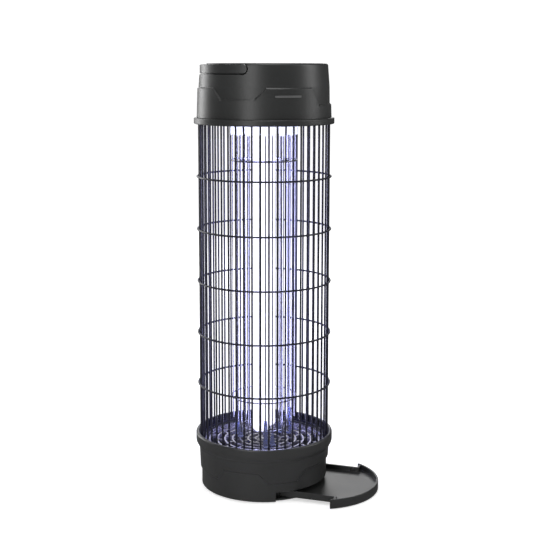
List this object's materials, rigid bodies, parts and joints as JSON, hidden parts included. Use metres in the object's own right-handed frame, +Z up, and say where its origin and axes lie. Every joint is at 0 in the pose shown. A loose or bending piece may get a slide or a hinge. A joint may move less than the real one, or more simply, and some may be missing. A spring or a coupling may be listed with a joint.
{
  "type": "electric bug zapper",
  "caption": "Free-standing cylindrical bug zapper: wire cage round a UV lamp and high-voltage grid, fold-flat handle, pull-out tray.",
  "frame": {"origin": "centre of the round base, on the resting plane", "axes": "+Z up along the cage's axis, +X the way the tray pulls out"},
  "size_m": [0.1986, 0.1466, 0.45],
  "materials": {
    "housing_plastic": "fine satin moulded ABS",
    "cap_plastic": "fine satin moulded ABS",
    "handle_plastic": "fine satin moulded ABS",
    "badge_plastic": "plain pale inlay",
    "pin_steel": "drawn",
    "screw_steel": "zinc plated",
    "switch_plastic": "moulded",
    "rocker_plastic": "gloss red",
    "inlet_plastic": "moulded",
    "contact_brass": "plain",
    "board_laminate": "glass-epoxy laminate",
    "winding": "enamelled copper and ferrite",
    "capacitor_sleeve": "heat-shrink sleeve",
    "device_black": "epoxy",
    "fuse_glass": "clear with metal caps",
    "terminal_plastic": "moulded",
    "core_steel": "laminated core",
    "film_blue": "dipped",
    "resistor_body": "lacquered",
    "lead_insulation": "silicone",
    "lamp_white": "white thermoplastic",
    "lamp_glass": "coated tube, lit",
    "grid_steel": "drawn stainless wire",
    "bush_plastic": "insulating",
    "post_plastic": "tinted, insulating",
    "cage_paint": "black coated wire",
    "base_plastic": "fine satin moulded ABS",
    "grille_plastic": "moulded",
    "tray_plastic": "fine satin moulded ABS",
    "foot_rubber": "moulded"
  },
  "bodies": {
    "zapper_body": {"top_shell": "housing_plastic", "cage_cap": "cap_plastic", "badge": "badge_plastic", "handle_pins": "pin_steel", "switch_body": "switch_plastic", "mains_inlet": "inlet_plastic", "inlet_pins": "contact_brass", "ballast_board": "board_laminate", "ballast_choke": "winding", "bulk_capacitor": "capacitor_sleeve", "ballast_transistors": "device_black", "fuse": "fuse_glass", "terminal_block": "terminal_plastic", "hv_board": "board_laminate", "hv_transformer": "core_steel", "hv_capacitors": "film_blue", "hv_diodes": "device_black", "bleed_resistor": "resistor_body", "hv_leads": "lead_insulation", "board_screws": "screw_steel", "cap_screws": "screw_steel", "lamp_holder": "lamp_white", "lamp_cap": "lamp_white", "lamp_pins": "contact_brass", "lamp_tubes": "lamp_glass", "grid_outer_wires": "grid_steel", "grid_outer_rings": "grid_steel", "grid_inner_wires": "grid_steel", "grid_inner_rings": "grid_steel", "grid_bushes": "bush_plastic", "grid_posts": "post_plastic", "cage_bars": "cage_paint", "cage_rings": "cage_paint", "cage_hoops": "cage_paint", "base_shell": "base_plastic", "grille": "grille_plastic", "chute": "base_plastic", "bottom_plate": "base_plastic", "foot_ring": "foot_rubber", "base_screws": "screw_steel"},
    "tray": {"tray": "tray_plastic"},
    "handle": {"handle": "handle_plastic"},
    "rocker": {"switch_rocker": "rocker_plastic"}
  },
  "joints": [
    {"name": "tray_slide", "type": "slide", "parent": "zapper_body", "child": "tray", "axis": [1, 0, 0], "range_m": [-0.058, 0.072]},
    {"name": "handle_pivot", "type": "hinge", "parent": "zapper_body", "child": "handle", "pos_m": [0, 0, 0.4442], "axis": [0, 1, 0], "range_deg": [0, 90]},
    {"name": "switch_pivot", "type": "hinge", "parent": "zapper_body", "child": "rocker", "pos_m": [0.03207, 0.0603, 0.4135], "axis": [0.8829, -0.4695, 0], "range_deg": [-16, 0]}
  ]
}
